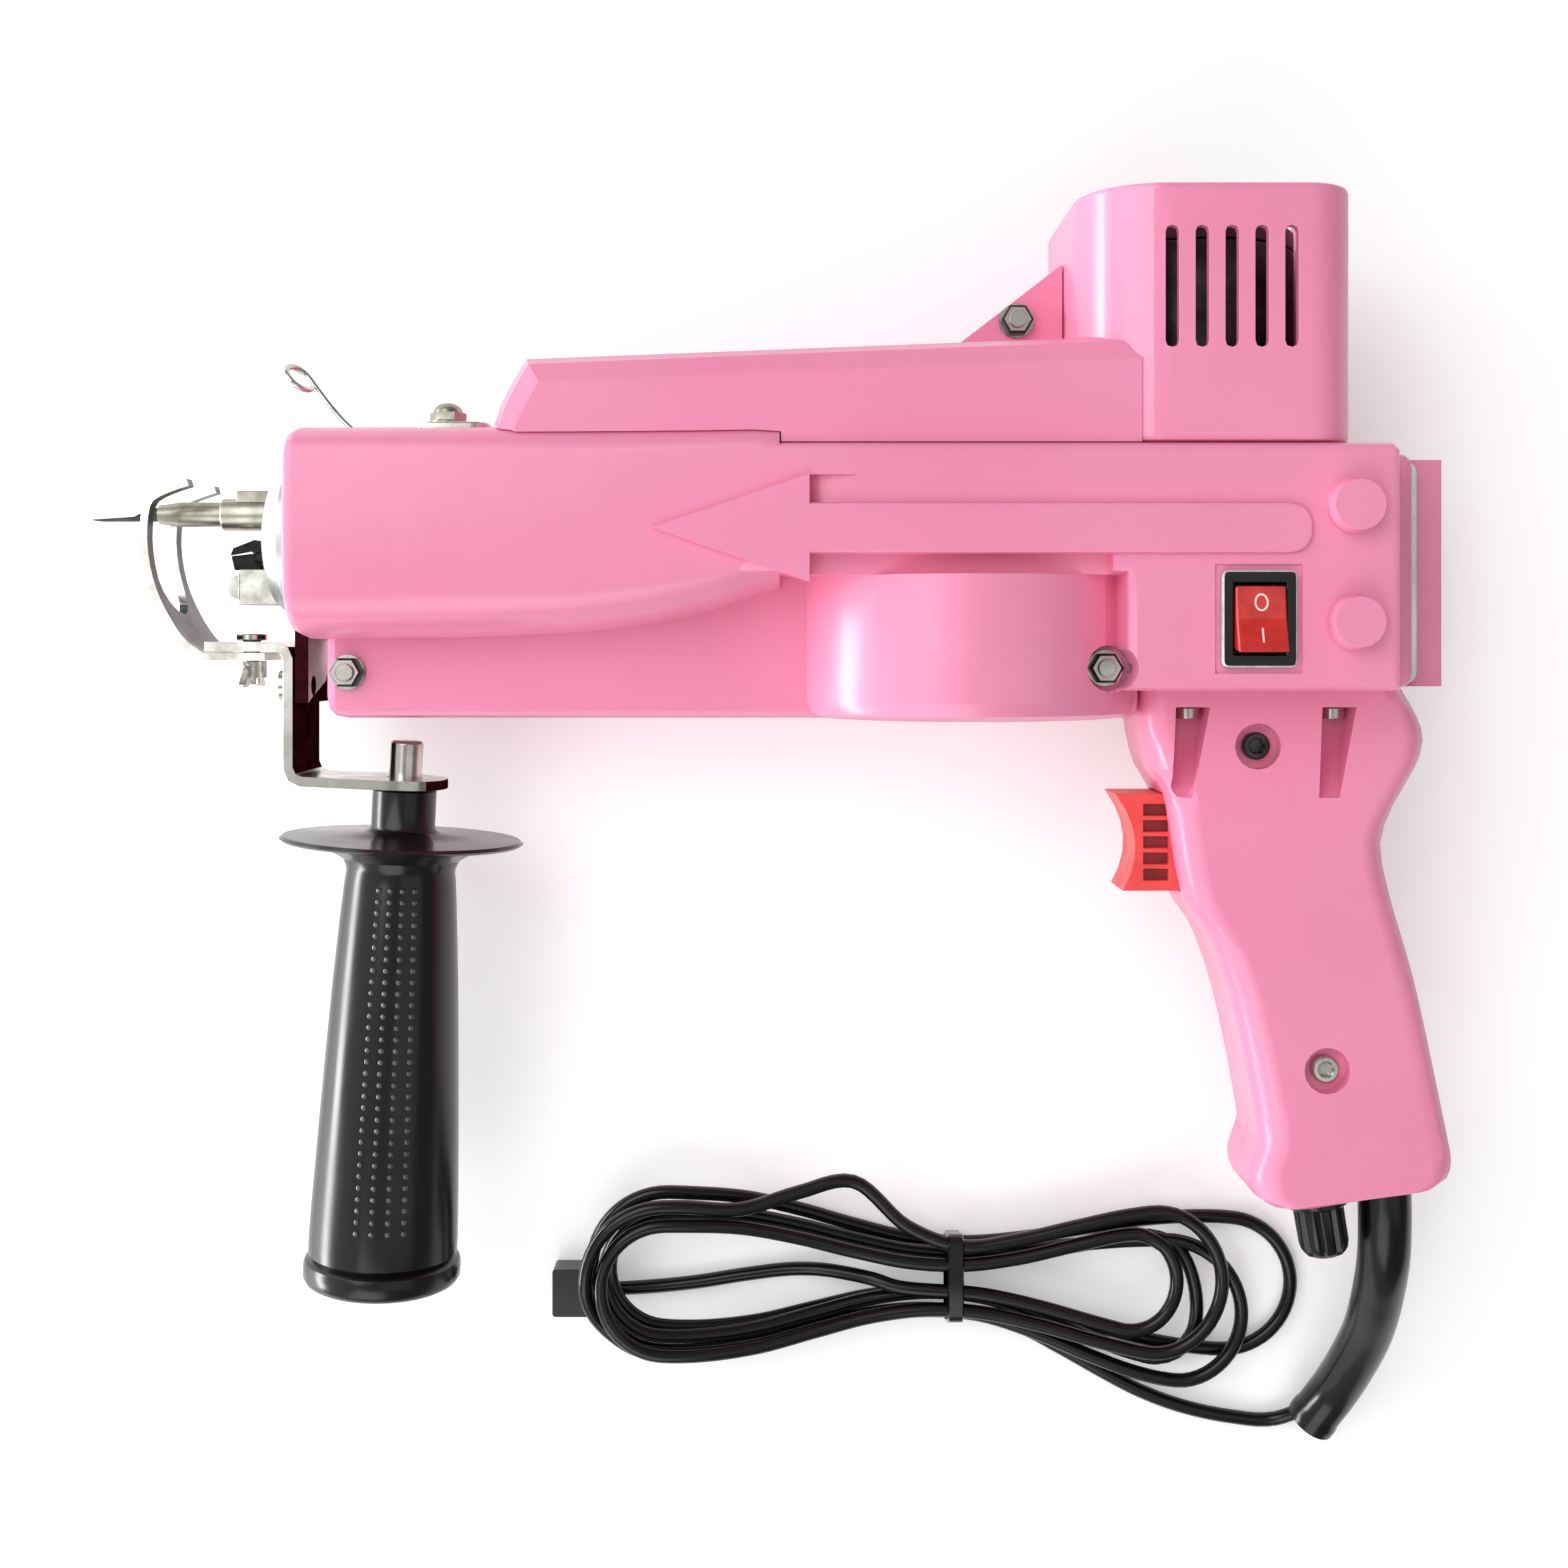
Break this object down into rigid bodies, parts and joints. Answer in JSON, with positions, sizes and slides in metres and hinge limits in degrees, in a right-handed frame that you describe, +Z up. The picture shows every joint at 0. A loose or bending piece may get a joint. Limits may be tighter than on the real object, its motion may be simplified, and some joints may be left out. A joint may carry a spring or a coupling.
{
  "type": "handheld tufting machine",
  "caption": "Handheld tufting machine: moulded body with motor shroud, hollow needle with presser foot and scissors, side handle, pistol grip with trigger, and a bundled cord.",
  "frame": {"origin": "Under the centre of the machine's own box, on the plane that it lies on, with the cord left out of the box.", "axes": "+X runs from the needle to the rear, +Y from the grip to the motor, +Z up out of the left cover, as the machine lies on its right side."},
  "size_m": [0.3252, 0.3086, 0.0895],
  "materials": {
    "pink_plastic": "glossy moulded",
    "black_plastic": "satin",
    "black_rubber": "satin",
    "red_plastic": "glossy moulded",
    "cast_aluminium": "satin machined",
    "zinc_steel": "zinc plated",
    "satin_steel": "satin ground",
    "dark_steel": "satin, dark",
    "black_oxide": "blackened"
  },
  "bodies": {
    "body": {"left_cover": "pink_plastic", "right_cover": "pink_plastic", "body_frame": "cast_aluminium", "gear_deck": "cast_aluminium", "motor_deck": "cast_aluminium", "upper_housing": "pink_plastic", "motor_shroud": "pink_plastic", "front_head": "cast_aluminium", "needle_bush": "satin_steel", "strap_bracket": "zinc_steel", "bracket_screw_1": "zinc_steel", "bracket_screw_2": "zinc_steel", "side_handle": "black_rubber", "handle_stud": "zinc_steel", "foot_screw": "zinc_steel", "foot_wing_nut": "zinc_steel", "yarn_guide": "zinc_steel", "guide_plate": "zinc_steel", "guide_nut": "zinc_steel", "left_grip": "pink_plastic", "right_grip": "pink_plastic", "grip_screw_1": "black_oxide", "grip_screw_2": "black_oxide", "mount_screw_1": "zinc_steel", "mount_screw_2": "zinc_steel", "trigger_spring": "zinc_steel", "trigger_switch": "black_plastic", "speed_pot": "zinc_steel", "cord_boot": "black_rubber", "cord_lead": "black_rubber", "cord_hank": "black_rubber", "cord_tail": "black_rubber", "hank_tie": "black_plastic", "cord_connector": "black_plastic", "rocker_housing": "black_plastic", "motor_can": "zinc_steel", "motor_end_bell": "black_plastic", "gear_axle": "satin_steel", "shell_bolt_front": "zinc_steel", "shell_bolt_rear": "zinc_steel", "shroud_bolt": "zinc_steel"},
    "crank": {"crank_gear": "satin_steel", "crank_pin": "satin_steel"},
    "motor_rotor": {"motor_shaft": "satin_steel", "pinion": "satin_steel"},
    "needle_carriage": {"needle": "zinc_steel", "needle_bar": "satin_steel", "crosshead": "cast_aluminium", "wrist_pin": "satin_steel"},
    "rod": {"connecting_rod": "satin_steel"},
    "scissors": {"scissor_bar": "satin_steel", "scissor_block": "satin_steel", "lower_blade": "black_oxide"},
    "cutting_blade": {"upper_blade": "black_oxide"},
    "foot": {"presser_foot": "dark_steel"},
    "trigger": {"trigger": "red_plastic"},
    "rocker": {"rocker_paddle": "red_plastic"},
    "knob": {"speed_knob": "black_plastic"}
  },
  "joints": [
    {"name": "crank_spin", "type": "hinge", "parent": "body", "child": "crank", "pos_m": [0.047, 0.0572, 0.045], "axis": [0, 1, 0], "continuous": true},
    {"name": "motor_spin", "type": "hinge", "parent": "body", "child": "motor_rotor", "pos_m": [0.1005, 0.0572, 0.045], "axis": [0, 1, 0], "continuous": true},
    {"name": "needle_slide", "type": "slide", "parent": "body", "child": "needle_carriage", "axis": [1, 0, 0], "range_m": [0, 0.024]},
    {"name": "rod_swing", "type": "hinge", "parent": "needle_carriage", "child": "rod", "pos_m": [-0.025, 0.0572, 0.045], "axis": [0, 1, 0], "range_deg": [-11.5, 11.5]},
    {"name": "scissor_slide", "type": "slide", "parent": "body", "child": "scissors", "axis": [1, 0, 0], "range_m": [-0.005, 0]},
    {"name": "blade_swing", "type": "hinge", "parent": "scissors", "child": "cutting_blade", "pos_m": [-0.1222, 0.0468, 0.045], "axis": [0, 0, 1], "range_deg": [0, 15]},
    {"name": "foot_slide", "type": "slide", "parent": "body", "child": "foot", "axis": [1, 0, 0], "range_m": [-0.003, 0]},
    {"name": "trigger_pull", "type": "slide", "parent": "body", "child": "trigger", "axis": [1, 0, 0], "range_m": [0, 0.005], "stiffness_N_per_m": 600, "springref_m": -0.003, "deforming": ["trigger_spring"]},
    {"name": "rocker_tilt", "type": "hinge", "parent": "body", "child": "rocker", "pos_m": [0.1079, 0.0316, 0.0858], "axis": [1, 0, 0], "range_deg": [0, 24]},
    {"name": "knob_turn", "type": "hinge", "parent": "body", "child": "knob", "pos_m": [0.1316, -0.1058, 0.045], "axis": [-0.1633, 0.9866, 0], "range_deg": [0, 270]}
  ],
  "couplings": [
    {"joint": "motor_spin", "follows": "crank_spin", "ratio": -2},
    {"joint": "scissor_slide", "follows": "needle_slide", "ratio": -0.2},
    {"joint": "blade_swing", "follows": "needle_slide", "rad_per_m": 10.9}
  ]
}
